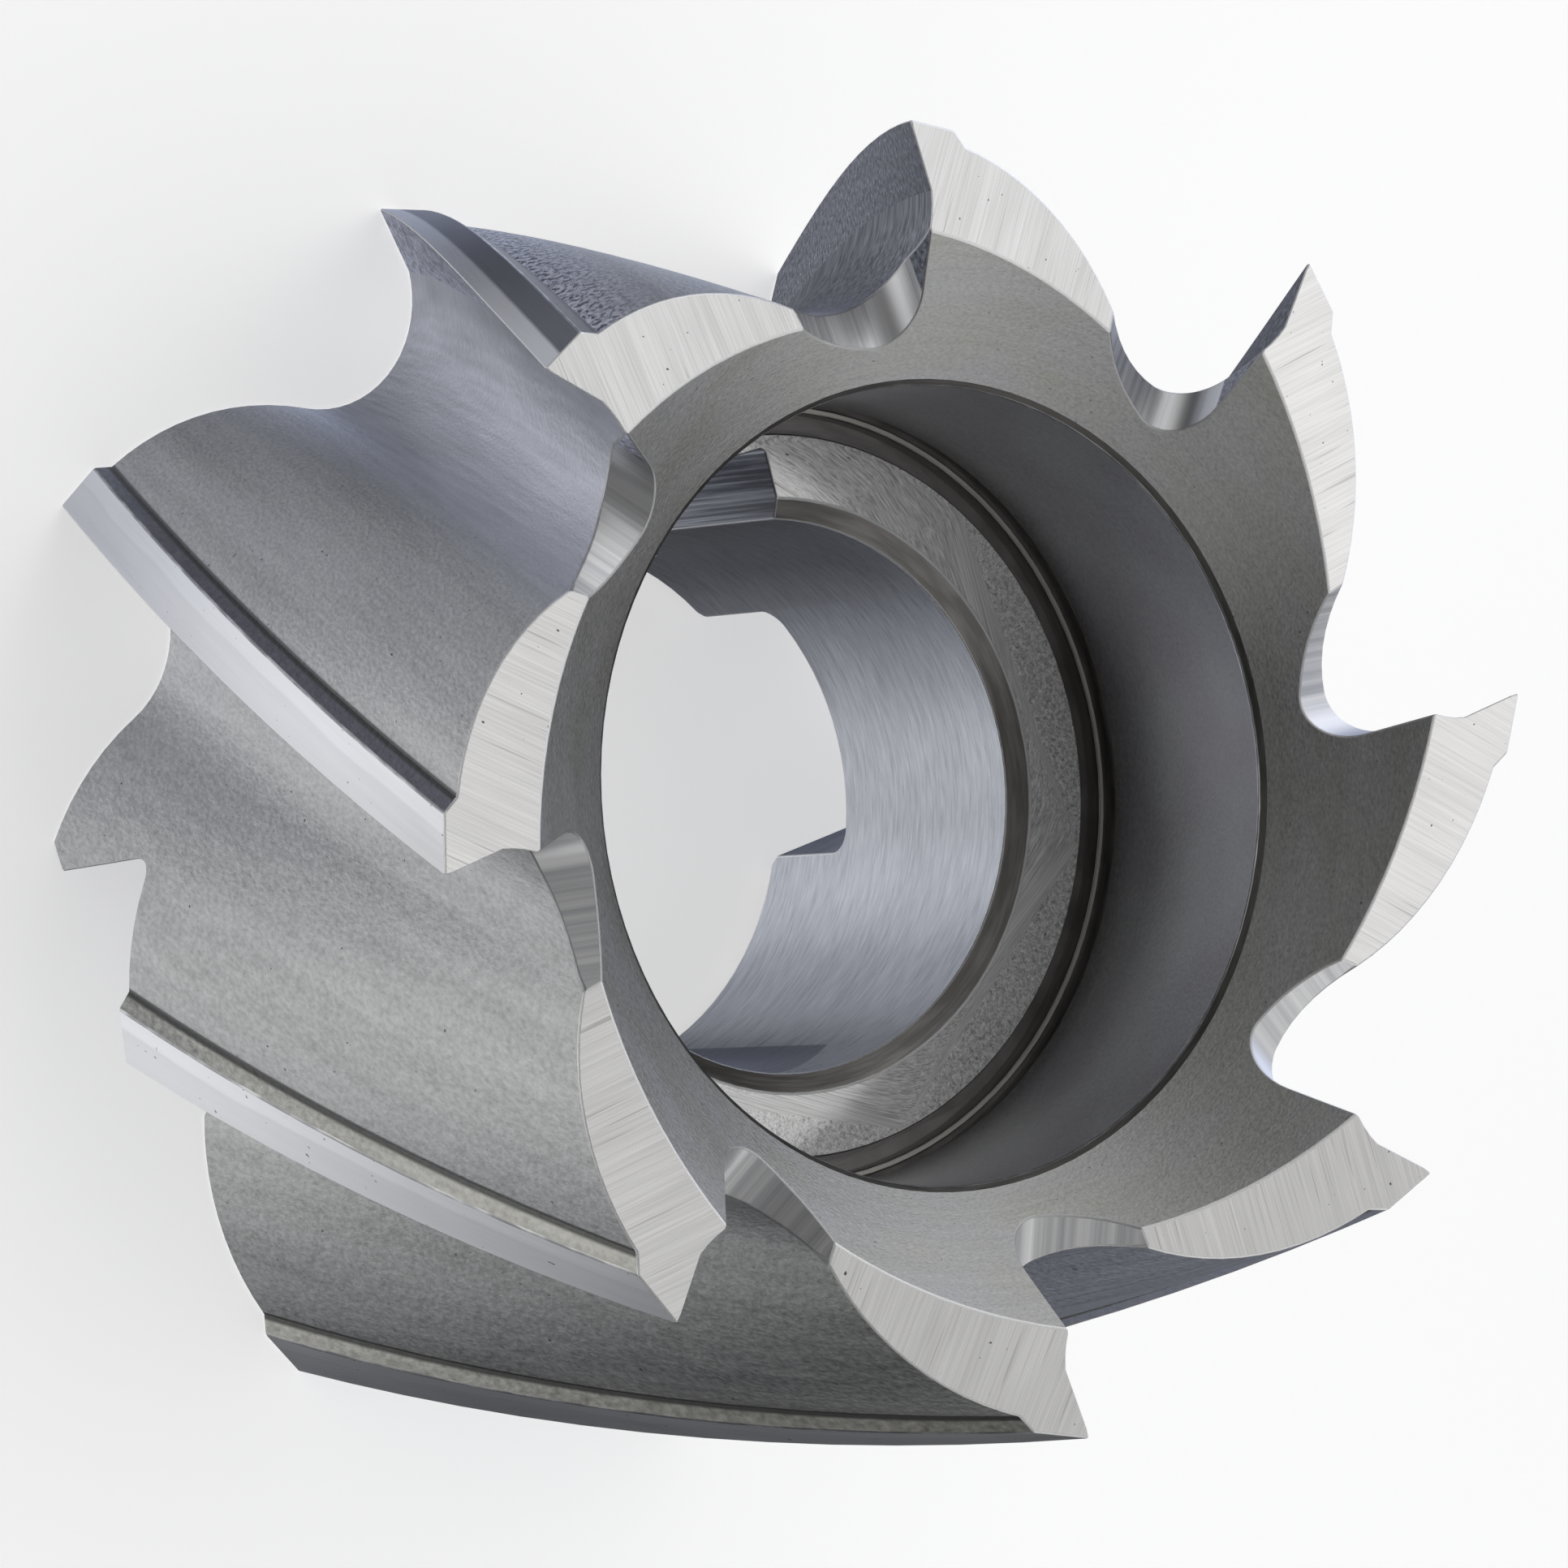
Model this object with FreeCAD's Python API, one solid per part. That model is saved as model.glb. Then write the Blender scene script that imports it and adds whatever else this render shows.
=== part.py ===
import FreeCAD, Part
import math
import os

V = FreeCAD.Vector

# Shell end mill with eight helical teeth, right-hand cut and right-hand helix.
# Millimetres. The back face lies on z = 0 with its centre at the origin, and
# the cutting end looks up +Z. The cross slot of the back face runs along X.

# Overall size
outer_diameter = 63.0
overall_length = 40.0
tooth_count = 8
helix_angle = 26.7
first_tip_angle = 79.5

# Tooth section square to the axis, measured from one cutting tip
land_end_angle = 4.8
land_end_radius = 30.86
step_foot_angle = 6.0
step_foot_radius = 30.05
flank_radius = 15.0
root_radius = 5.7
core_radius = 23.1
face_length = 3.5
face_rake = 11.5

# Cutting end: relief behind the end edges and the dished ring inside them
end_relief_angle = 10.8
relief_lead_angle = 8.0
relief_inner_radius = 10.0
relief_outer_radius = 45.0
dish_angle = 35.9
dish_rim_radius = 26.3

# End gash in front of each tooth, a trough that falls away outward. Its
# section is given in y, ahead of the tooth, and w, square to the trough.
gash_fall_angle = 20.0
gash_side_lean = 9.4
gash_side_y = -0.41
gash_side_w = 8.8
gash_root_radius = 2.0
gash_arc_radius = 10.8
gash_arc_y = -0.25
gash_arc_w = 14.3
gash_arc_end_y = 9.2
gash_top_w = 18.0
gash_inner_end = 12.0
gash_outer_end = 40.0

# Recess, screw seat and bore
recess_radius = 19.1
recess_mouth_radius = 19.4
seat_height = 22.0
groove_inner_radius = 17.65
groove_outer_radius = 18.7
groove_depth = 1.0
ledge_outer_radius = 19.05
undercut_radius = 19.4
undercut_depth = 0.4
undercut_height = 0.5
bore_diameter = 27.0
seat_chamfer_width = 1.0
seat_chamfer_depth = 0.7
back_chamfer = 1.0

# Keyway along the bore and cross slot in the back face
keyway_width = 7.0
keyway_floor_distance = 16.6
keyway_angle = 86.4
keyway_corner_radius = 0.3
slot_width = 12.8
slot_depth = 7.3
slot_corner_radius = 1.0
slot_chamfer = 1.3

# Derived values
overrun = 1.0
outer_radius = outer_diameter / 2
bore_radius = bore_diameter / 2
tooth_pitch = 360.0 / tooth_count
helix_lead = math.pi * outer_diameter / math.tan(math.radians(helix_angle))
twist = 360.0 * overall_length / helix_lead
dish_slope = math.tan(math.radians(dish_angle))
dish_mouth_height = overall_length - (dish_rim_radius - recess_mouth_radius) * dish_slope


def polar(radius, angle, z=0.0):
    a = math.radians(angle)
    return V(radius * math.cos(a), radius * math.sin(a), z)


def meet(c1, r1, c2, r2, side):
    """Crossing of two circles, to the left (1) or right (-1) of c1 to c2."""
    d = c2 - c1
    along = (d.Length ** 2 + r1 ** 2 - r2 ** 2) / (2 * d.Length)
    across = math.sqrt(r1 ** 2 - along ** 2)
    u = V(d).normalize()
    return c1 + u * along + V(-u.y, u.x, 0) * (across * side)


def toward(centre, point, radius):
    return centre + V(point - centre).normalize() * radius


def arc(start, centre, end):
    """The shorter arc about the centre from start to end."""
    middle = toward(centre, (start + end) * 0.5, (start - centre).Length)
    return Part.Arc(start, middle, end).toShape()


def ring_of(shape):
    """Copies of a shape, one for each tooth."""
    copies = []
    for k in range(tooth_count):
        copy = shape.copy()
        copy.rotate(V(0, 0, 0), V(0, 0, 1), first_tip_angle - k * tooth_pitch)
        copies.append(copy)
    return copies


# One tooth of the section, from its tip clockwise to the next tip: ground
# land, small step, convex flank, round root and flat cutting face.
def tooth_edges(tip_angle):
    next_angle = tip_angle - tooth_pitch
    tip = polar(outer_radius, tip_angle)
    next_tip = polar(outer_radius, next_angle)
    land_end = polar(land_end_radius, tip_angle - land_end_angle)
    foot = polar(step_foot_radius, tip_angle - step_foot_angle)
    face_foot = next_tip - polar(face_length, next_angle + face_rake)
    root = meet(V(0, 0, 0), core_radius + root_radius, face_foot, root_radius, 1)
    flank = meet(foot, flank_radius, root, flank_radius + root_radius, -1)
    joint = toward(flank, root, flank_radius)
    return [
        Part.makeLine(tip, land_end),
        Part.makeLine(land_end, foot),
        arc(foot, flank, joint),
        arc(joint, root, face_foot),
        Part.makeLine(face_foot, next_tip),
    ]


# The toothed body: the section carried up the axis along the helix.
def fluted_body():
    height = overall_length + overrun
    edges = []
    for k in range(tooth_count):
        edges += tooth_edges(first_tip_angle - twist - k * tooth_pitch)
    spine = Part.Wire(Part.makeLine(V(0, 0, 0), V(0, 0, height)))
    helix = Part.Wire(Part.makeHelix(helix_lead, height, outer_radius).Edges)
    sweep = Part.BRepOffsetAPI.MakePipeShell(spine)
    sweep.setAuxiliarySpine(helix, True, 0)
    sweep.add(Part.Wire(edges))
    sweep.build()
    sweep.makeSolid()
    return sweep.shape()


# Space above one end relief face, from just ahead of the edge to the flute.
def relief_space():
    slope = math.tan(math.radians(end_relief_angle))
    back_angle = relief_lead_angle - tooth_pitch
    corners = []
    for radius, angle in (
        (relief_inner_radius, relief_lead_angle),
        (relief_outer_radius, relief_lead_angle),
        (relief_outer_radius, back_angle),
        (relief_inner_radius, back_angle),
    ):
        p = polar(radius, angle)
        p.z = overall_length + slope * p.y
        corners.append(p)
    floor = Part.Face(Part.makePolygon(corners + corners[:1]))
    return floor.extrude(V(0, 0, overall_length / 2))


# A point of the gash section, at its inner end.
def gash_point(y, w):
    fall = math.radians(gash_fall_angle)
    x = gash_inner_end * math.cos(fall) + w * math.sin(fall)
    z = w * math.cos(fall) - gash_inner_end * math.sin(fall)
    return V(x, y, overall_length + z)


# One end gash: a leaning side under the cutting face, a small root radius
# and a wide arc that runs out under the tooth ahead.
def gash_space():
    lean = math.radians(gash_side_lean)
    up = V(math.sin(lean), math.cos(lean), 0)
    ahead = V(math.cos(lean), -math.sin(lean), 0)
    side = V(gash_side_y, gash_side_w, 0)
    wide = V(gash_arc_y, gash_arc_w, 0)
    reach = gash_arc_radius - gash_root_radius
    gap = ahead.dot(wide) - ahead.dot(side) - gash_root_radius
    root = wide - ahead * gap - up * math.sqrt(reach ** 2 - gap ** 2)
    side_end = root - ahead * gash_root_radius
    joint = toward(wide, root, gash_arc_radius)
    drop = math.sqrt(gash_arc_radius ** 2 - (gash_arc_end_y - gash_arc_y) ** 2)
    arc_end = V(gash_arc_end_y, gash_arc_w - drop, 0)
    side_top = side + up * ((gash_top_w - gash_side_w) / math.cos(lean))
    arc_top = V(gash_arc_end_y, gash_top_w, 0)
    root_mid = toward(root, (side_end + joint) * 0.5, gash_root_radius)
    wide_mid = toward(wide, (joint + arc_end) * 0.5, gash_arc_radius)

    def at(p):
        return gash_point(p.x, p.y)

    outline = Part.Wire([
        Part.makeLine(at(side_top), at(side_end)),
        Part.Arc(at(side_end), at(root_mid), at(joint)).toShape(),
        Part.Arc(at(joint), at(wide_mid), at(arc_end)).toShape(),
        Part.makeLine(at(arc_end), at(arc_top)),
        Part.makeLine(at(arc_top), at(side_top)),
    ])
    fall = math.radians(gash_fall_angle)
    run = gash_outer_end - gash_inner_end
    return Part.Face(outline).extrude(V(math.cos(fall), 0, -math.sin(fall)) * run)


# Everything turned about the axis: back chamfer, bore, front chamfer, screw
# seat, groove with its narrow ledge, recess wall and dished end ring.
def turned_space():
    mouth_width = recess_mouth_radius - recess_radius
    undercut_width = undercut_radius - recess_radius
    undercut_top = seat_height + undercut_height
    rim = dish_rim_radius + 2 * overrun / dish_slope
    points = [
        (0, -overrun),
        (bore_radius + back_chamfer + overrun, -overrun),
        (bore_radius, back_chamfer),
        (bore_radius, seat_height - seat_chamfer_depth),
        (bore_radius + seat_chamfer_width, seat_height),
        (groove_inner_radius, seat_height),
        (groove_inner_radius, seat_height - groove_depth),
        (groove_outer_radius, seat_height - groove_depth),
        (groove_outer_radius, seat_height),
        (ledge_outer_radius, seat_height),
        (ledge_outer_radius, seat_height - undercut_depth),
        (undercut_radius, seat_height - undercut_depth),
        (undercut_radius, undercut_top),
        (recess_radius, undercut_top + undercut_width),
        (recess_radius, dish_mouth_height - mouth_width),
        (recess_mouth_radius, dish_mouth_height),
        (rim, overall_length + 2 * overrun),
        (0, overall_length + 2 * overrun),
        (0, -overrun),
    ]
    outline = Part.makePolygon([V(r, 0, z) for r, z in points])
    return Part.Face(outline).revolve(V(0, 0, 0), V(0, 0, 1), 360)


def keyway_space():
    height = seat_height + 2 * overrun
    start = V(0, -keyway_width / 2, -overrun)
    box = Part.makeBox(keyway_floor_distance, keyway_width, height, start)
    corners = []
    for edge in box.Edges:
        span = edge.BoundBox
        if span.XMin > keyway_floor_distance - 0.1 and span.ZLength > 1:
            corners.append(edge)
    box = box.makeFillet(keyway_corner_radius, corners)
    box.rotate(V(0, 0, 0), V(0, 0, 1), keyway_angle)
    return box


# The cross slot, chamfered along its mouth and rounded along its floor.
def slot_space():
    length = outer_diameter + 4 * overrun
    half = slot_width / 2
    spread = half + slot_chamfer + overrun
    section = [
        (-spread, -overrun),
        (-half, slot_chamfer),
        (-half, slot_depth),
        (half, slot_depth),
        (half, slot_chamfer),
        (spread, -overrun),
        (-spread, -overrun),
    ]
    outline = Part.makePolygon([V(-length / 2, y, z) for y, z in section])
    slot = Part.Face(outline).extrude(V(length, 0, 0))
    corners = []
    for edge in slot.Edges:
        span = edge.BoundBox
        if span.ZMin > slot_depth - 0.1 and span.XLength > 1:
            corners.append(edge)
    return slot.makeFillet(slot_corner_radius, corners)


def shell_end_mill():
    body = fluted_body()
    body = body.cut(turned_space())
    body = body.cut(ring_of(relief_space()))
    body = body.cut(ring_of(gash_space()))
    body = body.cut([keyway_space(), slot_space()])
    return body.Solids[0]


os.makedirs("parts", exist_ok=True)
mill = shell_end_mill()
mill.exportStep("parts/shell_end_mill.step")
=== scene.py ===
"""Looks of a shell end mill: one piece of tool steel, turned, milled, hardened and ground.
Metres in Blender; the sizes in the sections are millimetres, in the cutter's own frame."""

import math

import bmesh
import bpy
import numpy as np
from mathutils import Matrix, Vector


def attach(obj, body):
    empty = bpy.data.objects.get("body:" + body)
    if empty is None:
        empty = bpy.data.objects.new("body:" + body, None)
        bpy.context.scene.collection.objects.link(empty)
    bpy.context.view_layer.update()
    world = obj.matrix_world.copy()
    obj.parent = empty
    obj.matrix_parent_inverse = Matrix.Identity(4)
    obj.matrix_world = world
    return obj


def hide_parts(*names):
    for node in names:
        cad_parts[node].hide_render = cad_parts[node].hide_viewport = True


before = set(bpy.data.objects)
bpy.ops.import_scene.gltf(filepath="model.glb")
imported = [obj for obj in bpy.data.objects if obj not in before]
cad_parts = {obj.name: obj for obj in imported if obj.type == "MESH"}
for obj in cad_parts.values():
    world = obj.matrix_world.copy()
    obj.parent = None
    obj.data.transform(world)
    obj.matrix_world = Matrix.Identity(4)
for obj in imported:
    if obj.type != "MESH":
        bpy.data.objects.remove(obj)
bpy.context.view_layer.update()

# The cutter. One blank of tool steel, turned, milled, hardened and ground, so
# it is one piece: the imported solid's mesh, with a honed facet on its sharp
# corners. Each surface is told apart, so that it can have its own finish.

MM = 0.001
OUTER_RADIUS = 31.5
LENGTH = 40.0
TOOTH_COUNT = 8
TOOTH_PITCH = 360.0 / TOOTH_COUNT
FIRST_TIP_ANGLE = 79.5
HELIX_ANGLE = math.radians(26.7)
HELIX_LEAD = 2 * math.pi * OUTER_RADIUS / math.tan(HELIX_ANGLE)

# How far in each surface of a tooth reaches, and the surfaces of the middle.
LAND_RADIUS = 30.86
STEP_RADIUS = 30.05
CUTTING_FACE_RADIUS = 28.1
CORE_RADIUS = 23.1
GASH_FALL = math.radians(20.0)
RECESS_MOUTH_RADIUS = 19.4
SEAT_HEIGHT = 22.0
CLEAR_OF_SEAT = 23.0
BORE_RADIUS = 13.5
CHAMFER_RADIUS = 14.5
KEYWAY_RADIUS = 16.9
KEYWAY_ANGLE = math.radians(86.4)
SLOT_DEPTH = 7.3

# What tells one surface from another: lengths in mm, areas in mm2, and how
# squarely it faces up or ahead.
NEAR = 0.1
SEAT_AREA = 200
CUTTING_FACE_AREA = 50
FACES_UP = 0.95
FACES_AHEAD = 0.93

# The tool marks: how far an end face or a gash lies behind its tip and a
# cutting face ahead of it, in degrees, and the number that marks a tooth.
END_FACE_LAG = 10.0
GASH_LAG = -4.0
CUTTING_FACE_LEAD = 2.0
TOOTH_MARK = 30.0
SCRATCH_LEAN = math.radians(31)
SCORE_RADIUS = 16.0
SCORE_REACH = 7.5

# The mesh: what counts as one point, one round surface, flat or too small to
# matter, the width of the honed facets and the bluntest corner that gets one.
SAME_POINT = 0.001
SAME_SURFACE = 0.98
FLAT = 0.99995
SLIVER_AREA = 1e-6
HONED_WIDTH = 0.085
BLUNTEST_HONED = math.radians(18)

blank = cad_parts["shell_end_mill"].data
corners = np.empty(len(blank.loops), np.int32)
blank.loops.foreach_get("vertex_index", corners)
points = np.empty(len(blank.vertices) * 3)
blank.vertices.foreach_get("co", points)
points = points.reshape(-1, 3) / MM
seams = np.empty(len(blank.edges) * 2, np.int32)
blank.edges.foreach_get("vertices", seams)
seams = seams.reshape(-1, 2)

# A surface is a run of faces that share points.
surface_of_point = np.arange(len(points))
while True:
    lower = surface_of_point[seams].min(axis=1)
    spread = surface_of_point.copy()
    np.minimum.at(spread, seams[:, 0], lower)
    np.minimum.at(spread, seams[:, 1], lower)
    spread = spread[spread]
    if (spread == surface_of_point).all():
        break
    surface_of_point = spread

triangles = corners.reshape(-1, 3)
surface_of_face = surface_of_point[triangles[:, 0]]
face_points = points[triangles]
face_middle = face_points.mean(axis=1)
face_way = np.cross(face_points[:, 1] - face_points[:, 0], face_points[:, 2] - face_points[:, 0])
face_area = np.linalg.norm(face_way, axis=1) / 2
face_way /= np.maximum(2 * face_area, 1e-12)[:, None]
face_radius = np.hypot(face_middle[:, 0], face_middle[:, 1])
ahead = (face_way[:, 1] * face_middle[:, 0] - face_way[:, 0] * face_middle[:, 1]) / face_radius


def finish_of(low_r, high_r, low_z, high_z, fore, up, area):
    """The finish of one surface, from its reach in radius and height in mm,
    how far it faces ahead in the cut and upward, and its area."""
    if high_z < NEAR:
        return "back_face"
    if high_r < BORE_RADIUS + NEAR:
        return "bore"
    if high_r < CHAMFER_RADIUS + NEAR:
        return "chamfer"
    if high_r < KEYWAY_RADIUS + NEAR:
        return "keyway"
    if high_z < SLOT_DEPTH + NEAR:
        return "cross_slot"
    if high_z < SEAT_HEIGHT + NEAR:
        return "seat" if area > SEAT_AREA else "ledge" if low_z > SEAT_HEIGHT - NEAR else "groove"
    if low_z < CLEAR_OF_SEAT:
        if low_r > LAND_RADIUS - NEAR:
            return "land"
        if low_r > STEP_RADIUS - NEAR:
            return "step"
        if low_r > CUTTING_FACE_RADIUS - NEAR:
            return "cutting_face"
        if low_r > CORE_RADIUS - NEAR:
            return "flank"
        return "recess" if high_z > CLEAR_OF_SEAT else "groove"
    if low_r < RECESS_MOUTH_RADIUS + NEAR:
        return "dish" if high_r > RECESS_MOUTH_RADIUS + NEAR else "mouth"
    if low_r > CUTTING_FACE_RADIUS - NEAR and high_r < OUTER_RADIUS + NEAR and up < 0:
        return "cutting_face" if area > CUTTING_FACE_AREA else "gash"
    if low_r > LAND_RADIUS - NEAR:
        return "land"
    if up > FACES_UP:
        return "end_face"
    return "cutting_face" if fore > FACES_AHEAD else "gash"


def tooth_frame(at, tooth):
    """Points in the frame of one tooth: out along its front tip, and ahead."""
    turn = math.radians(FIRST_TIP_ANGLE - tooth * TOOTH_PITCH)
    out = at[:, 0] * math.cos(turn) + at[:, 1] * math.sin(turn)
    fore = at[:, 1] * math.cos(turn) - at[:, 0] * math.sin(turn)
    return out, fore


def marks_of(finish, at):
    """Where points lie across and along the marks of the tool that made the
    surface, in mm, and a third number that tells one tooth from the next.
    The scores of the seat cross it aslant, so there they run the first way."""
    x, y, z = at.T
    radius = np.hypot(x, y)
    angle = np.degrees(np.arctan2(y, x))
    if finish in ("end_face", "gash"):
        behind = FIRST_TIP_ANGLE - math.degrees(math.atan2(y.mean(), x.mean()))
        lag = END_FACE_LAG if finish == "end_face" else GASH_LAG
        tooth = round((behind - lag) / TOOTH_PITCH) % TOOTH_COUNT
        out, fore = tooth_frame(at, tooth)
        if finish == "end_face":
            across = out * math.sin(SCRATCH_LEAN) + fore * math.cos(SCRATCH_LEAN)
            along = out * math.cos(SCRATCH_LEAN) - fore * math.sin(SCRATCH_LEAN)
        else:
            across = fore + (z - LENGTH) * math.cos(GASH_FALL) + out * math.sin(GASH_FALL)
            along = out * math.cos(GASH_FALL) - (z - LENGTH) * math.sin(GASH_FALL)
        return across, along, np.full(len(at), TOOTH_MARK * tooth)
    if finish in ("land", "step", "flank", "cutting_face"):
        tip = FIRST_TIP_ANGLE - 360.0 * (LENGTH - z) / HELIX_LEAD
        behind = (tip - angle) % 360.0
        lead = CUTTING_FACE_LEAD if finish == "cutting_face" else 0.0
        tooth = math.floor((np.median(behind) + lead) / TOOTH_PITCH)
        behind = (behind - tooth * TOOTH_PITCH + 180.0) % 360.0 - 180.0
        across = radius if finish == "cutting_face" else np.radians(behind) * OUTER_RADIUS
        return across, z / math.cos(HELIX_ANGLE), np.full(len(at), TOOTH_MARK * tooth)
    if finish == "keyway":
        side = y * math.cos(KEYWAY_ANGLE) - x * math.sin(KEYWAY_ANGLE)
        depth = x * math.cos(KEYWAY_ANGLE) + y * math.sin(KEYWAY_ANGLE)
        return side + depth, z, np.zeros(len(at))
    if finish == "cross_slot":
        return y + z, x, np.zeros(len(at))
    if finish == "seat":
        turned = np.radians(angle) - (radius - SCORE_RADIUS) / SCORE_REACH
        return radius, SCORE_RADIUS * np.cos(turned), SCORE_RADIUS * np.sin(turned)
    return radius + z, x, y


FINISHES = (
    "end_face", "honed_edge", "worn_edge", "land", "step", "flank", "cutting_face", "gash", "dish",
    "recess", "mouth", "groove", "ledge", "seat", "chamfer", "bore", "keyway", "cross_slot", "back_face",
)
finish_of_face = np.zeros(len(triangles), np.int32)
marks = np.zeros((len(corners), 3))
for surface in np.unique(surface_of_face):
    here = surface_of_face == surface
    share = face_area[here] / face_area[here].sum()
    own = points[np.unique(triangles[here])]
    own_radius = np.hypot(own[:, 0], own[:, 1])
    finish = finish_of(
        own_radius.min(), own_radius.max(), own[:, 2].min(), own[:, 2].max(),
        (ahead[here] * share).sum(), (face_way[here][:, 2] * share).sum(), face_area[here].sum(),
    )
    finish_of_face[here] = FINISHES.index(finish)
    own_corners = np.repeat(here, 3)
    marks[own_corners] = np.stack(marks_of(finish, points[corners[own_corners]]), axis=1)

shape = bmesh.new()
shape.from_mesh(blank)
surface_layer = shape.faces.layers.int.new("surface")
marks_layer = shape.loops.layers.float_vector.new("marks")
facing_layer = shape.loops.layers.float_vector.new("facing")
facing = np.empty(len(corners) * 3)
blank.corner_normals.foreach_get("vector", facing)
facing = facing.reshape(-1, 3)
for face in shape.faces:
    face[surface_layer] = int(surface_of_face[face.index])
    face.material_index = int(finish_of_face[face.index])
    face.smooth = True
    for corner in face.loops:
        corner[marks_layer] = marks[corner.index]
        corner[facing_layer] = facing[corner.index]
bmesh.ops.remove_doubles(shape, verts=shape.verts[:], dist=SAME_POINT * MM)

# A round surface closes on itself at a seam, and there its two sides have to
# face the same way.
for point in shape.verts:
    ways = [(c, c.face.material_index, c[facing_layer].copy()) for c in point.link_loops]
    for corner, finish, way in ways:
        alike = [w for c, f, w in ways if f == finish and w.dot(way) > SAME_SURFACE]
        corner[facing_layer] = sum(alike, Vector()).normalized()

# Flat surfaces become single faces, and then the corners between surfaces get
# their facet.
shape.normal_update()
straight = set()
for surface in np.unique(surface_of_face):
    here = surface_of_face == surface
    widest = face_way[here][face_area[here].argmax()]
    if ((face_way[here] @ widest > FLAT) | (face_area[here] < SLIVER_AREA)).all():
        straight.add(int(surface))


def same_surface(edge):
    """Whether an edge lies inside one surface."""
    one, other = edge.link_faces
    return one[surface_layer] == other[surface_layer]


inner = [e for e in shape.edges if same_surface(e) and e.link_faces[0][surface_layer] in straight]
bmesh.ops.dissolve_edges(shape, edges=inner, use_verts=False, use_face_split=False)
honed = [
    e for e in shape.edges
    if not same_surface(e) and e.is_convex and e.calc_face_angle() > BLUNTEST_HONED
]
facets = set(bmesh.ops.bevel(
    shape, geom=honed, offset=HONED_WIDTH * MM, offset_type="OFFSET", segments=1, profile=0.5,
    affect="EDGES", clamp_overlap=False, loop_slide=False, material=FINISHES.index("honed_edge"),
    miter_outer="SHARP", miter_inner="SHARP",
)["faces"])

# A facet takes the way that its neighbours face, so that light rolls over it.
# It keeps the bright honed finish only beside a ground face, but not in the
# ragged line where a land meets its step, and in the grooves it is dark.
for face in facets:
    beside = {FINISHES[f.material_index] for e in face.edges for f in e.link_faces if f not in facets}
    if "groove" in beside and "seat" not in beside:
        face.material_index = FINISHES.index("groove")
    elif beside == {"land", "step"} or beside and not beside & {"end_face", "land", "bore", "back_face"}:
        face.material_index = FINISHES.index("worn_edge")
    for corner in face.loops:
        near = [c[facing_layer] for c in corner.vert.link_loops if c.face not in facets]
        corner[facing_layer] = sum(near, Vector()).normalized() if near else corner.vert.normal

# Where a gash runs out thinner than a facet, the crumpled slivers are drawn in.
shape.normal_update()
crumpled = [
    face for face in shape.faces
    if face.normal.dot(sum((c[facing_layer] for c in face.loops), Vector())) < 0
]
bmesh.ops.collapse(shape, edges=list({e for face in crumpled for e in face.edges}), uvs=False)

body = bpy.data.meshes.new("shell_end_mill_steel")
shape.to_mesh(body)
shape.free()
facing = np.empty(len(body.loops) * 3)
body.attributes["facing"].data.foreach_get("vector", facing)
body.attributes.remove(body.attributes["facing"])
body.attributes.remove(body.attributes["surface"])
body.normals_split_custom_set(facing.reshape(-1, 3).tolist())
cutter = bpy.data.objects.new("shell_end_mill_steel", body)
bpy.context.scene.collection.objects.link(cutter)
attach(cutter, "root")
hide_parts("shell_end_mill")


# The end faces. Each is the flat relief behind an end edge, ground last with a
# fine wheel, so it is the brightest steel: straight scratches that lean away
# from the edge, soft patches where the wheel bit more, and a few pits.


def wire(tree, kind, sockets, **settings):
    """A shader node with its settings, and numbers or links on its sockets."""
    made = tree.nodes.new("ShaderNode" + kind)
    for setting, value in settings.items():
        setattr(made, setting, value)
    for socket, value in sockets.items():
        if isinstance(value, bpy.types.NodeSocket):
            tree.links.new(value, made.inputs[socket])
        else:
            made.inputs[socket].default_value = value
    return made


def steel(name, metallic=1.0):
    """Bare steel, added to the cutter as its next finish."""
    material = bpy.data.materials.new(name)
    material.use_nodes = True
    material.node_tree.nodes["Principled BSDF"].inputs["Metallic"].default_value = metallic
    body.materials.append(material)
    return material.node_tree


def marks_in(tree):
    """The places across and along the tool marks, stored in the mesh."""
    return wire(tree, "Attribute", {}, attribute_name="marks").outputs["Vector"]


def streaks(tree, across, along, detail, seed=0.0):
    """Noise drawn out along the tool marks: its grain across and along, in mm."""
    grain = (1 / across, 1 / along, 1 / along)
    drawn = wire(
        tree, "VectorMath", {0: marks_in(tree), 1: grain, 2: (seed, seed, seed)}, operation="MULTIPLY_ADD",
    ).outputs["Vector"]
    return wire(
        tree, "TexNoise", {"Vector": drawn, "Scale": 1.0, "Detail": detail, "Roughness": 0.55},
    ).outputs[0]


def level(tree, value, low, high, to_low=0.0, to_high=1.0):
    """Value low to high made to_low to to_high, and held there beyond."""
    return wire(
        tree, "MapRange",
        {"Value": value, "From Min": low, "From Max": high, "To Min": to_low, "To Max": to_high},
    ).outputs["Result"]


def summed(tree, start, *parts):
    """A start value, more or less by each noise times its weight."""
    total = start - sum(weight for _, weight in parts) / 2
    for noise, weight in parts:
        total = wire(tree, "Math", {0: noise, 1: weight, 2: total}, operation="MULTIPLY_ADD").outputs[0]
    return total


def shade(tree, colour, amount):
    """A colour made lighter or darker from place to place."""
    return wire(tree, "VectorMath", {0: colour, "Scale": amount}, operation="SCALE").outputs["Vector"]


def over(tree, cover, under, top):
    """One colour laid over another where the cover is 1."""
    mixed = wire(tree, "Mix", {"Factor": cover, 6: under, 7: top}, data_type="RGBA")
    return mixed.outputs[2]


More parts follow.
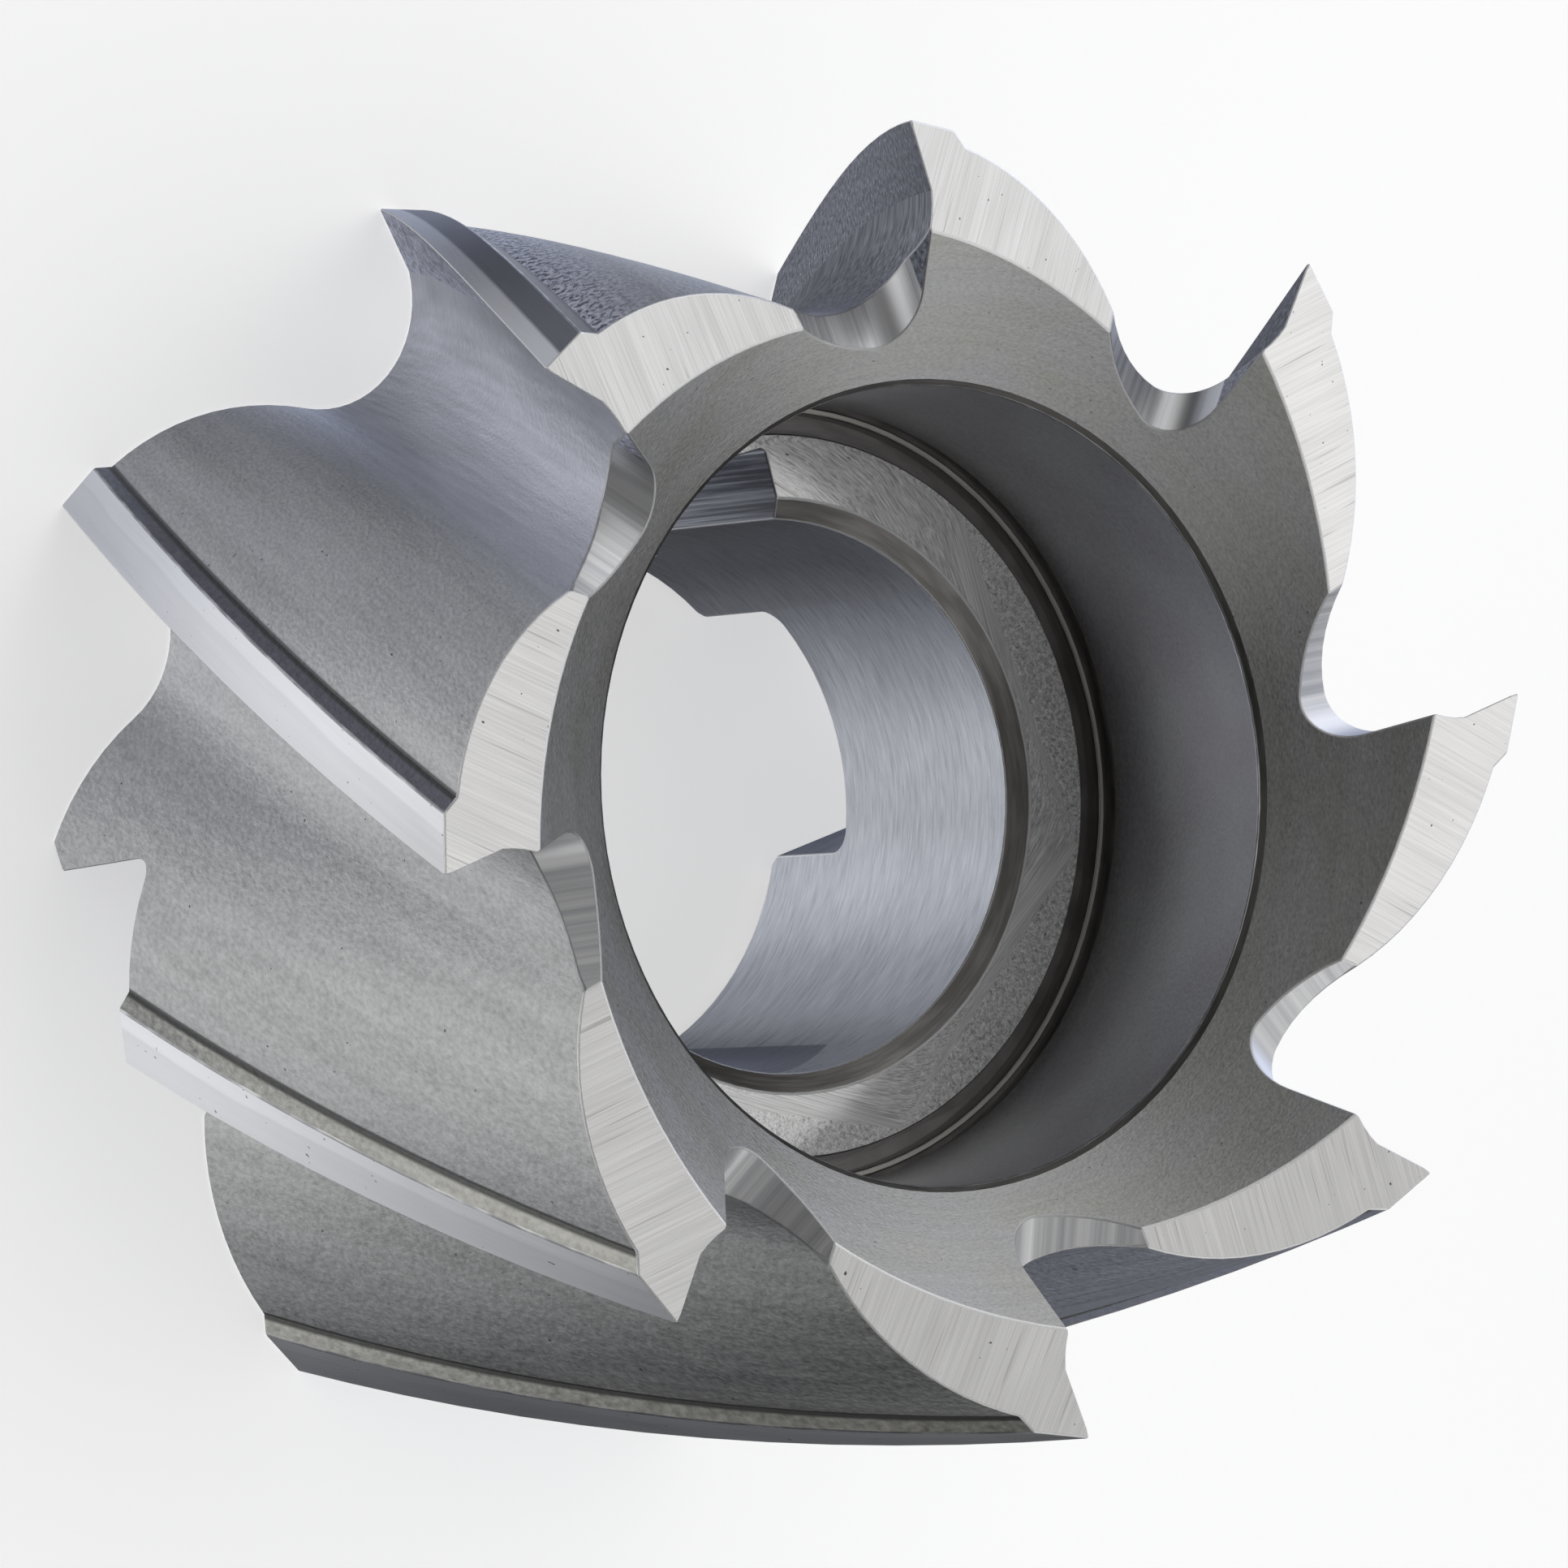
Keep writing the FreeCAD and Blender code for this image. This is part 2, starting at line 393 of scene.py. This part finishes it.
def dress(tree, colour, roughness, *cuts):
    """The colour, roughness and cut depths, in mm, put on the steel."""
    shader = tree.nodes["Principled BSDF"]
    tree.links.new(colour, shader.inputs["Base Color"])
    tree.links.new(roughness, shader.inputs["Roughness"])
    normal = None
    for height, depth in cuts:
        sockets = {"Height": height, "Distance": depth * MM}
        if normal:
            sockets["Normal"] = normal
        normal = wire(tree, "Bump", sockets).outputs["Normal"]
    tree.links.new(normal, shader.inputs["Normal"])


tree = steel("ground_end_face")
scratches = streaks(tree, 0.10, 7.0, detail=2.0)
passes = streaks(tree, 0.8, 18.0, detail=1.0, seed=3.1)
patches = streaks(tree, 3.5, 5.0, detail=1.0, seed=7.7)
deep_scratches = level(tree, streaks(tree, 0.14, 7.0, detail=1.0, seed=21.0), 0.66, 0.74, to_high=0.55)
pits = level(tree, streaks(tree, 0.30, 0.38, detail=1.0, seed=13.3), 0.765, 0.80)
colour = shade(
    tree, (0.83, 0.823, 0.817),
    summed(tree, 1.0, (scratches, 0.50), (passes, 0.20), (patches, 0.14)),
)
colour = over(tree, deep_scratches, colour, (0.42, 0.41, 0.40, 1))
colour = over(tree, pits, colour, (0.16, 0.15, 0.14, 1))
dress(
    tree, colour, summed(tree, 0.25, (scratches, 0.10), (passes, 0.12)),
    (scratches, 0.0016), (pits, -0.012),
)

# The edges. A stone drawn along every sharp corner leaves a facet less than a
# tenth of a millimetre wide. It is bright beside the ground faces and worn grey
# elsewhere, and use has nicked it.

tree = steel("honed_edge", metallic=0.75)
nicks = streaks(tree, 0.5, 0.35, detail=1.0, seed=2.2)
rub = streaks(tree, 0.15, 1.5, detail=1.0, seed=5.0)
colour = shade(tree, (0.93, 0.93, 0.925), summed(tree, 0.97, (nicks, 0.30), (rub, 0.20)))
dress(tree, colour, summed(tree, 0.36, (nicks, 0.20)), (nicks, 0.004))

tree = steel("worn_edge")
nicks = streaks(tree, 0.5, 0.35, detail=1.0, seed=2.2)
rub = level(tree, streaks(tree, 0.4, 2.0, detail=1.0, seed=5.0), 0.45, 0.65)
colour = over(
    tree, rub,
    shade(tree, (0.40, 0.40, 0.405), summed(tree, 1.0, (nicks, 0.5))),
    shade(tree, (0.72, 0.72, 0.72), summed(tree, 1.0, (nicks, 0.4))),
)
dress(tree, colour, summed(tree, 0.36, (nicks, 0.20)), (nicks, 0.004))

# The lands. The outside of each tooth is ground along the helix in two passes:
# a narrow margin next to the cutting edge, and behind it a relief down to the
# step. On one tooth the relief is painted dark and bluish, a painted shade, and
# there are a few dark spots.

# Teeth are counted from the first tip, against the way the cutter turns.
PITTED_TOOTH = 7
LIT_FLUTE_TOOTH = 6
BLUE_REFLECTION_TOOTH = 3

# Where the margin ends and the relief painted in shade begins, from the cutting edge.
MARGIN_END = (1.15, 1.30)
SHADED_RELIEF = (1.0, 1.2)


def place(tree):
    """Across the tool marks, along them and the tooth's mark, as X, Y and Z."""
    return wire(tree, "SeparateXYZ", {0: marks_in(tree)}).outputs


def of_tooth(tree, tooth):
    """1 on the surfaces of one tooth and 0 on the others."""
    sockets = {0: place(tree)["Z"], 1: TOOTH_MARK * tooth, 2: TOOTH_MARK / 6}
    return wire(tree, "Math", sockets, operation="COMPARE").outputs[0]


def both(tree, one, other):
    """1 only where two covers are 1."""
    return wire(tree, "Math", {0: one, 1: other}, operation="MULTIPLY").outputs[0]


tree = steel("ground_land")
where = place(tree)
scratches = streaks(tree, 0.12, 6.0, detail=2.0)
passes = streaks(tree, 0.6, 30.0, detail=1.0, seed=2.4)
stains = streaks(tree, 1.4, 5.0, detail=1.0, seed=8.8)
wander = streaks(tree, 30.0, 7.0, detail=1.0, seed=4.0)
margin = level(tree, summed(tree, 0.0, (where["X"], 1.0), (wander, 0.5)), *MARGIN_END)
colour = shade(
    tree, (0.82, 0.82, 0.82),
    summed(tree, 1.0, (scratches, 0.10), (passes, 0.14), (stains, 0.10)),
)
colour = shade(tree, colour, level(tree, margin, 0.0, 1.0, to_low=0.95, to_high=1.06))
# Painted shade: on one tooth the relief behind the margin is painted dark and bluish.
painted_shade_patch = both(tree, of_tooth(tree, PITTED_TOOTH), level(tree, where["X"], *SHADED_RELIEF))
painted_shade_relief = shade(tree, (0.15, 0.154, 0.178), summed(tree, 1.0, (scratches, 0.4)))
colour = over(tree, painted_shade_patch, colour, painted_shade_relief)
spots = level(tree, streaks(tree, 0.26, 0.45, detail=1.0, seed=6.1), 0.75, 0.80)
colour = over(tree, spots, colour, (0.24, 0.23, 0.22, 1))
dress(
    tree, colour, summed(tree, 0.29, (scratches, 0.06), (stains, 0.08)),
    (scratches, 0.0007), (spots, -0.006),
)

# The steps. The narrow strip between land and flute was only milled before
# hardening, so it is grey brown and torn, with a painted shadow line along the
# crease at its foot. One tooth has a painted blue reflection on it, another is
# slate grey and a third is painted darker, a painted shade.

STEP_FOOT = 3.3

tree = steel("milled_step")
where = place(tree)
tears = streaks(tree, 0.20, 0.42, detail=2.0)
scale_marks = streaks(tree, 0.5, 9.0, detail=1.0, seed=3.3)
colour = shade(tree, (0.50, 0.496, 0.462), summed(tree, 1.0, (tears, 1.2), (scale_marks, 0.4)))
# Painted shade: one tooth's step is painted darker.
colour = shade(tree, colour, level(tree, of_tooth(tree, PITTED_TOOTH), 0.0, 1.0, to_low=1.0, to_high=0.42))
# Painted reflection: one tooth's step is painted blue.
colour = over(tree, of_tooth(tree, BLUE_REFLECTION_TOOTH), colour, (0.29, 0.305, 0.37, 1))
slate = shade(tree, (0.26, 0.26, 0.29), summed(tree, 1.0, (tears, 0.8)))
colour = over(tree, of_tooth(tree, LIT_FLUTE_TOOTH), colour, slate)
# Painted shadow: a dark line along the crease at the step's foot.
painted_crease_shadow = level(tree, where["X"], STEP_FOOT - 0.22, STEP_FOOT - 0.12)
colour = over(tree, painted_crease_shadow, colour, (0.13, 0.13, 0.125, 1))
dress(tree, colour, summed(tree, 0.46, (tears, 0.3)), (tears, 0.03))

# The flutes. The rounded back of each tooth and the root of the flute are
# milled with a form cutter and then blasted: matte and grainy, with milling
# streaks and bands of scale along the helix. One tooth's back has a painted
# blue reflection.

# Where each patch fades out or sets in, from the cutting edge of its tooth.
PITTED_BACK = (7.4, 3.8)
SHADED_FLUTE = (16.0, 20.0)
LIT_FLUTE = (12.0, 16.0)

tree = steel("milled_flute")
grain = streaks(tree, 0.22, 0.36, detail=2.0)
peel = streaks(tree, 0.60, 1.1, detail=1.0, seed=4.0)
speckle = streaks(tree, 0.30, 0.38, detail=2.0, seed=12.0)
milling = streaks(tree, 0.45, 9.0, detail=1.0, seed=2.0)
scale_bands = streaks(tree, 2.2, 30.0, detail=1.0, seed=6.0)
dark_specks = level(tree, streaks(tree, 0.34, 0.42, detail=1.0, seed=17.0), 0.765, 0.81)
colour = shade(
    tree, (0.505, 0.507, 0.500),
    summed(tree, 1.0, (grain, 0.85), (peel, 0.15), (milling, 0.28), (scale_bands, 0.34)),
)
painted_blue_reflection = shade(tree, (0.41, 0.43, 0.50), summed(tree, 1.0, (grain, 0.5), (milling, 0.4)))
# Painted reflection: one tooth's back is painted blue.
colour = over(tree, of_tooth(tree, BLUE_REFLECTION_TOOTH), colour, painted_blue_reflection)
colour = over(tree, dark_specks, colour, (0.14, 0.14, 0.145, 1))

# One tooth stood in the damp: next to its step it is eaten into small pits.
# That patch is painted paler and bluish, a painted light, with painted highlights
# on the pits' rims, and far down its back, up to the next cutting face, it is
# painted dark and bluish, a painted shade. The flute ahead of it is painted
# lighter and bluish, a painted light.
where = place(tree)
# Painted shadow: a dark line along the crease at the step's foot.
painted_crease_shadow = level(tree, where["X"], STEP_FOOT + 0.22, STEP_FOOT + 0.10)
colour = over(tree, painted_crease_shadow, colour, (0.13, 0.13, 0.13, 1))
on_pitted_tooth = of_tooth(tree, PITTED_TOOTH)
pitted = both(tree, on_pitted_tooth, level(tree, where["X"], *PITTED_BACK))
painted_shade_patch = both(tree, on_pitted_tooth, level(tree, where["X"], *SHADED_FLUTE))
# Painted light: the flute ahead of the pitted tooth is painted lighter and bluish.
rub_and_painted_light = both(tree, of_tooth(tree, LIT_FLUTE_TOOTH), level(tree, where["X"], *LIT_FLUTE))
# Painted light and shade: the far back is painted dark and bluish, the pitted patch paler and bluish.
painted_shade_flute = shade(tree, (0.262, 0.268, 0.300), summed(tree, 1.0, (grain, 2.2), (speckle, 1.4)))
painted_light_flute = shade(tree, (0.51, 0.52, 0.557), summed(tree, 1.0, (milling, 0.5), (grain, 0.3)))
painted_light_pitted = shade(tree, (0.55, 0.565, 0.65), summed(tree, 1.0, (grain, 1.6)))
colour = over(tree, painted_shade_patch, colour, painted_shade_flute)
colour = over(tree, rub_and_painted_light, colour, painted_light_flute)
colour = over(tree, pitted, colour, painted_light_pitted)
eaten = streaks(tree, 0.36, 0.42, detail=1.0, seed=23.0)
pits = both(tree, level(tree, eaten, 0.55, 0.60), pitted)
# The pits' bright rims are painted highlights.
painted_rim_highlights = both(tree, level(tree, eaten, 0.47, 0.40), pitted)
colour = over(tree, pits, colour, (0.13, 0.13, 0.16, 1))
colour = over(tree, painted_rim_highlights, colour, (0.88, 0.88, 0.92, 1))
dress(
    tree, colour, summed(tree, 0.44, (grain, 0.20), (milling, 0.10)),
    (grain, 0.032), (peel, 0.028), (pits, -0.03),
)

# The cutting faces. A cup wheel has ground the front of each tooth in a strip
# from the edge down to the flute. They have pitted since, and small bright spots
# are painted glints. The pitted tooth's face is painted paler, a painted light.

tree = steel("ground_cutting_face")
scratches = streaks(tree, 0.10, 6.0, detail=1.0)
passes = streaks(tree, 0.5, 12.0, detail=1.0, seed=4.2)
pitting = streaks(tree, 0.30, 0.38, detail=2.0, seed=12.0)
# Painted glints: small spots painted bright.
glints = level(tree, streaks(tree, 0.24, 0.28, detail=1.0, seed=31.0), 0.62, 0.72, to_high=0.8)
colour = shade(
    tree, (0.270, 0.278, 0.322),
    summed(tree, 1.0, (scratches, 0.2), (passes, 0.25), (pitting, 3.0)),
)
# Painted light: one tooth's face is painted twice as light.
colour = shade(tree, colour, level(tree, of_tooth(tree, PITTED_TOOTH), 0.0, 1.0, to_low=1.0, to_high=2.0))
colour = over(tree, glints, colour, (0.74, 0.76, 0.80, 1))
dress(tree, colour, summed(tree, 0.38, (scratches, 0.1), (pitting, 0.2)), (pitting, 0.02))

# The end gashes. A round-nosed wheel was run out along each trough, so its
# polish is drawn in long stripes from dark to bright.

tree = steel("ground_gash")
stripes = streaks(tree, 0.42, 60.0, detail=1.0)
scratches = streaks(tree, 0.10, 14.0, detail=1.0, seed=4.4)
colour = over(
    tree, level(tree, stripes, 0.30, 0.70),
    shade(tree, (0.55, 0.555, 0.57), summed(tree, 1.0, (scratches, 0.4))),
    shade(tree, (0.80, 0.80, 0.80), summed(tree, 1.0, (scratches, 0.3))),
)
dress(
    tree, colour, summed(tree, 0.38, (scratches, 0.10), (stripes, 0.08)),
    (stripes, 0.0015), (scratches, 0.001),
)

# The dish. The cone inside the end faces was turned before hardening and then
# blasted, so it is an even matte grey with faint rings left in it.

tree = steel("turned_dish")
grain = streaks(tree, 0.16, 0.24, detail=2.0)
rings = streaks(tree, 0.30, 14.0, detail=1.0, seed=3.0)
smudges = streaks(tree, 3.5, 7.0, detail=1.0, seed=8.0)
dark_specks = level(tree, streaks(tree, 0.30, 0.36, detail=1.0, seed=12.0), 0.755, 0.80, to_high=0.8)
colour = over(
    tree, level(tree, smudges, 0.30, 0.70), (0.41, 0.41, 0.39, 1), (0.42, 0.42, 0.43, 1),
)
colour = shade(tree, colour, summed(tree, 1.0, (grain, 0.80), (rings, 0.18), (smudges, 0.12)))
colour = over(tree, dark_specks, colour, (0.14, 0.14, 0.14, 1))
dress(tree, colour, summed(tree, 0.40, (grain, 0.16), (smudges, 0.08)), (grain, 0.014))

# The recess. Its wall was turned and left as it came from the furnace: dark
# violet grey with the fine thread of the turning tool round it. The small
# chamfer at its mouth is painted nearly black, a painted shadow line.

tree = steel("scaled_recess")
grain = streaks(tree, 0.17, 0.24, detail=2.0)
threads = streaks(tree, 0.14, 30.0, detail=1.0, seed=2.0)
blooms = streaks(tree, 5.0, 6.0, detail=1.0, seed=5.0)
colour = over(
    tree, level(tree, blooms, 0.35, 0.65), (0.350, 0.342, 0.362, 1), (0.385, 0.387, 0.394, 1),
)
colour = shade(tree, colour, summed(tree, 1.0, (grain, 0.75), (threads, 0.22), (blooms, 0.12)))
dress(tree, colour, summed(tree, 0.48, (grain, 0.2), (threads, 0.08)), (grain, 0.014))

# Painted shade: the chamfer at the recess mouth is painted nearly black.
tree = steel("mouth_painted_shade")
grain = streaks(tree, 0.3, 1.5, detail=2.0)
colour = shade(tree, (0.12, 0.117, 0.113), summed(tree, 1.0, (grain, 1.0)))
dress(tree, colour, summed(tree, 0.42, (grain, 0.2)), (grain, 0.01))

# The grooves. The clearance groove and the undercut round the screw seat were
# turned, and hold old oil and dust. The narrow ledge between them stands level
# with the seat and is rubbed pale.

tree = steel("oily_groove")
grime = streaks(tree, 0.4, 2.5, detail=2.0)
colour = over(tree, level(tree, grime, 0.30, 0.70), (0.27, 0.262, 0.257, 1), (0.44, 0.427, 0.42, 1))
dress(tree, colour, summed(tree, 0.46, (grime, 0.3)), (grime, 0.008))

tree = steel("rubbed_ledge", metallic=0.6)
rub = streaks(tree, 0.2, 4.0, detail=1.0)
colour = shade(tree, (1.0, 0.99, 0.92), summed(tree, 0.92, (rub, 0.3)))
dress(tree, colour, summed(tree, 0.60, (rub, 0.2)), (rub, 0.003))

# The screw seat. The ring under the clamping screw is ground flat, and the
# screw's head has scored it in long arcs that run aslant across it.

tree = steel("scored_seat", metallic=0.45)
scores = streaks(tree, 9.0, 0.24, detail=2.0)
fine = streaks(tree, 4.0, 0.10, detail=1.0, seed=3.0)
deep_scores = level(tree, streaks(tree, 8.0, 0.17, detail=1.0, seed=11.0), 0.64, 0.72, to_high=0.7)
pits = level(tree, streaks(tree, 0.35, 0.5, detail=1.0, seed=15.0), 0.76, 0.80)
colour = shade(tree, (0.98, 0.98, 0.97), summed(tree, 1.08, (scores, 1.7), (fine, 1.6)))
colour = over(tree, deep_scores, colour, (0.38, 0.38, 0.37, 1))
colour = over(tree, pits, colour, (0.16, 0.155, 0.15, 1))
dress(tree, colour, summed(tree, 0.13, (scores, 0.10)), (scores, 0.003), (pits, -0.008))

# The chamfers. Both ends of the bore were broken with a form tool that
# chattered a little, and oil has stained them brown.

tree = steel("stained_chamfer")
chatter = streaks(tree, 0.12, 4.0, detail=1.0)
stain = streaks(tree, 0.6, 3.5, detail=2.0, seed=6.0)
colour = over(
    tree, level(tree, stain, 0.40, 0.66),
    shade(tree, (0.24, 0.231, 0.218), summed(tree, 1.0, (chatter, 0.5))),
    shade(tree, (0.36, 0.350, 0.335), summed(tree, 1.0, (chatter, 0.5))),
)
dress(tree, colour, summed(tree, 0.36, (chatter, 0.2)), (chatter, 0.004))

# The bore. It is ground to fit the arbor, smooth and a little blue, with the
# short marks of the wheel and fainter rings round it. Opposite the keyway a dark
# band of painted reflection runs up from the back and ends aslant near the top.

# The band's two sides, its height in the middle, and how much it falls per mm.
BAND_FROM = -3.85
BAND_TO = 1.9
BAND_TOP = 17.2
BAND_SLANT = 0.56

tree = steel("ground_bore")
where = place(tree)
wheel = streaks(tree, 0.16, 1.6, detail=2.0)
rings = streaks(tree, 0.7, 14.0, detail=1.0, seed=4.0)
patches = streaks(tree, 4.0, 5.0, detail=1.0, seed=9.0)
colour = shade(
    tree, (0.438, 0.450, 0.473),
    summed(tree, 1.0, (wheel, 0.90), (rings, 0.20), (patches, 0.18)),
)

# Here X is the radius plus the height, and Y and Z are the cutter's x and y.
slanted = wire(
    tree, "Math", {0: where["Y"], 1: BAND_SLANT, 2: where["X"]}, operation="MULTIPLY_ADD",
).outputs[0]
reflection_band = level(tree, slanted, BORE_RADIUS + BAND_TOP + 0.1, BORE_RADIUS + BAND_TOP - 0.1)
reflection_band = both(tree, reflection_band, level(tree, where["Y"], BAND_TO + 0.06, BAND_TO - 0.06))
reflection_band = both(tree, reflection_band, level(tree, where["Z"], 0.1, -0.1))
reflection_band = both(tree, reflection_band, level(tree, where["Y"], BAND_FROM - 0.05, BAND_FROM + 0.05))
# Painted reflection: the band is painted dark and bluish.
painted_dark_reflection = shade(tree, (0.17, 0.175, 0.215), summed(tree, 1.0, (wheel, 0.5)))
colour = over(tree, reflection_band, colour, painted_dark_reflection)
dress(tree, colour, summed(tree, 0.29, (wheel, 0.14), (rings, 0.06)), (wheel, 0.003))

# The keyway. It was broached down the bore, and each tooth of the broach leaves
# straight light stripes along it on darker steel.

tree = steel("broached_keyway")
broaching = streaks(tree, 0.20, 14.0, detail=2.0)
tears = streaks(tree, 0.15, 1.2, detail=2.0, seed=5.0)
colour = over(
    tree, level(tree, broaching, 0.42, 0.64),
    shade(tree, (0.20, 0.205, 0.225), summed(tree, 1.0, (tears, 0.5))),
    shade(tree, (0.55, 0.56, 0.59), summed(tree, 1.0, (tears, 0.4))),
)
dress(tree, colour, summed(tree, 0.36, (tears, 0.2)), (broaching, 0.012))

# The cross slot. Two drive keys of the arbor sit in it. It was milled along
# its length, and the keys have rubbed its walls.

tree = steel("milled_cross_slot")
feed = streaks(tree, 0.30, 16.0, detail=2.0)
cutter_arcs = streaks(tree, 1.2, 0.35, detail=1.0, seed=6.0)
rub_and_painted_light = streaks(tree, 2.2, 6.0, detail=2.0, seed=9.0)
colour = over(
    tree, level(tree, rub_and_painted_light, 0.45, 0.62),
    shade(tree, (0.15, 0.155, 0.195), summed(tree, 1.0, (feed, 0.4), (cutter_arcs, 0.3))),
    shade(tree, (0.26, 0.265, 0.300), summed(tree, 1.0, (feed, 0.4), (cutter_arcs, 0.3))),
)
dress(
    tree, colour, summed(tree, 0.36, (feed, 0.15), (cutter_arcs, 0.15)),
    (feed, 0.004), (cutter_arcs, 0.003),
)

# The back face. It seats on the arbor's shoulder, so it is ground flat, and
# turning against the shoulder has left fine rings in it. A few spots have rusted.

tree = steel("ground_back_face")
rings = streaks(tree, 0.12, 12.0, detail=1.0)
bands = streaks(tree, 1.1, 20.0, detail=1.0, seed=3.0)
rust = level(tree, streaks(tree, 0.9, 1.0, detail=4.0, seed=8.0), 0.66, 0.76, to_high=0.8)
colour = shade(tree, (0.66, 0.66, 0.66), summed(tree, 1.0, (rings, 0.3), (bands, 0.35)))
colour = over(tree, rust, colour, (0.26, 0.22, 0.18, 1))
dress(tree, colour, summed(tree, 0.30, (rings, 0.15), (rust, 0.2)), (rings, 0.002))

# The floor. The cutter stands with its back face on a wide sheet of pale matte
# paper, which glows a little, so that the shadow on it stays soft.

FLOOR_SPAN = 4

bpy.ops.mesh.primitive_plane_add(size=FLOOR_SPAN)
floor = bpy.context.active_object
floor.name = "floor"
pale = bpy.data.materials.new("pale_floor")
pale.use_nodes = True
paper = pale.node_tree.nodes["Principled BSDF"]
paper.inputs["Base Color"].default_value = (0.9, 0.9, 0.9, 1)
paper.inputs["Roughness"].default_value = 0.9
paper.inputs["Emission Color"].default_value = (1, 1, 1, 1)
paper.inputs["Emission Strength"].default_value = 0.55
pale.cycles.emission_sampling = "NONE"
floor.data.materials.append(pale)
# The steel mirrors the soft boxes and not the paper.
floor.visible_glossy = False

# The light. Wide soft boxes stand all round the cutter, also low down, so that
# the bare steel has something pale to mirror. Each is an azimuth and elevation
# in degrees, how bright it is and how blue.

SOFT_BOXES = (
    (-15, 60, 0.64, 0), (120, 64, 0.18, 0), (60, 40, 0.25, 0), (240, 40, 0.45, 0),
    (35, 20, 0.65, 0), (325, 20, 0.65, 0), (15, 0, 0.6, 0.05), (145, 0, 0.95, 0), (280, 0, 0.95, 0),
    (0, -25, 0.9, 0.3), (195, -25, 0.3, 0), (90, -45, 0.55, 0.1), (150, -45, 0.45, 0),
    (180, -70, 0.48, 0.1), (270, -70, 0.12, 0.1),
)
BOX_RIM = math.cos(math.radians(42))

studio = bpy.data.worlds.new("studio")
studio.use_nodes = True
sky = studio.node_tree
toward = sky.nodes.new("ShaderNodeTexCoord").outputs["Generated"]
light = (0.0, 0.0, 0.0)
for azimuth, elevation, brightness, blue in SOFT_BOXES:
    a, e = math.radians(azimuth), math.radians(elevation)
    way = (math.cos(a) * math.cos(e), math.sin(a) * math.cos(e), math.sin(e))
    closeness = wire(sky, "VectorMath", {0: toward, 1: way}, operation="DOT_PRODUCT").outputs["Value"]
    fade = {"Value": closeness, "From Min": BOX_RIM, "From Max": 1.0, "To Max": brightness}
    glow = wire(sky, "MapRange", fade, interpolation_type="SMOOTHSTEP").outputs["Result"]
    tint = (1.0 - 0.3 * blue, 1.0, 1.0 + blue)
    light = wire(
        sky, "VectorMath", {0: tint, 1: glow, 2: light}, operation="MULTIPLY_ADD",
    ).outputs["Vector"]
sky.links.new(light, sky.nodes["Background"].inputs["Color"])
# Boxes this wide and soft need no sampling of their own.
studio.cycles.sampling_method = "NONE"
bpy.context.scene.world = studio

# The camera. It stands above the cutting end, with a long lens and rolled
# almost a quarter turn, and looks at a point near the middle of the cutter.

EYE_AIM = Vector((0.95, 0.34, 20.56))
EYE_DISTANCE = 523.0
EYE_AZIMUTH = math.radians(164.81)
EYE_ELEVATION = math.radians(55.78)
EYE_ROLL = math.radians(85.98)

eye = bpy.data.cameras.new("eye")
eye.sensor_width = 36.0
eye.lens = 246.0
eye.clip_start, eye.clip_end = 0.05, 10
tripod = bpy.data.objects.new("camera", eye)
turn = (
    Matrix.Rotation(EYE_AZIMUTH + math.pi / 2, 4, "Z")
    @ Matrix.Rotation(math.pi / 2 - EYE_ELEVATION, 4, "X")
    @ Matrix.Rotation(EYE_ROLL, 4, "Z")
)
stand = (EYE_AIM + turn.col[2].to_3d() * EYE_DISTANCE) * MM
tripod.matrix_world = Matrix.Translation(stand) @ turn
bpy.context.scene.collection.objects.link(tripod)
bpy.context.scene.camera = tripod
bpy.context.scene.view_settings.view_transform = "Standard"
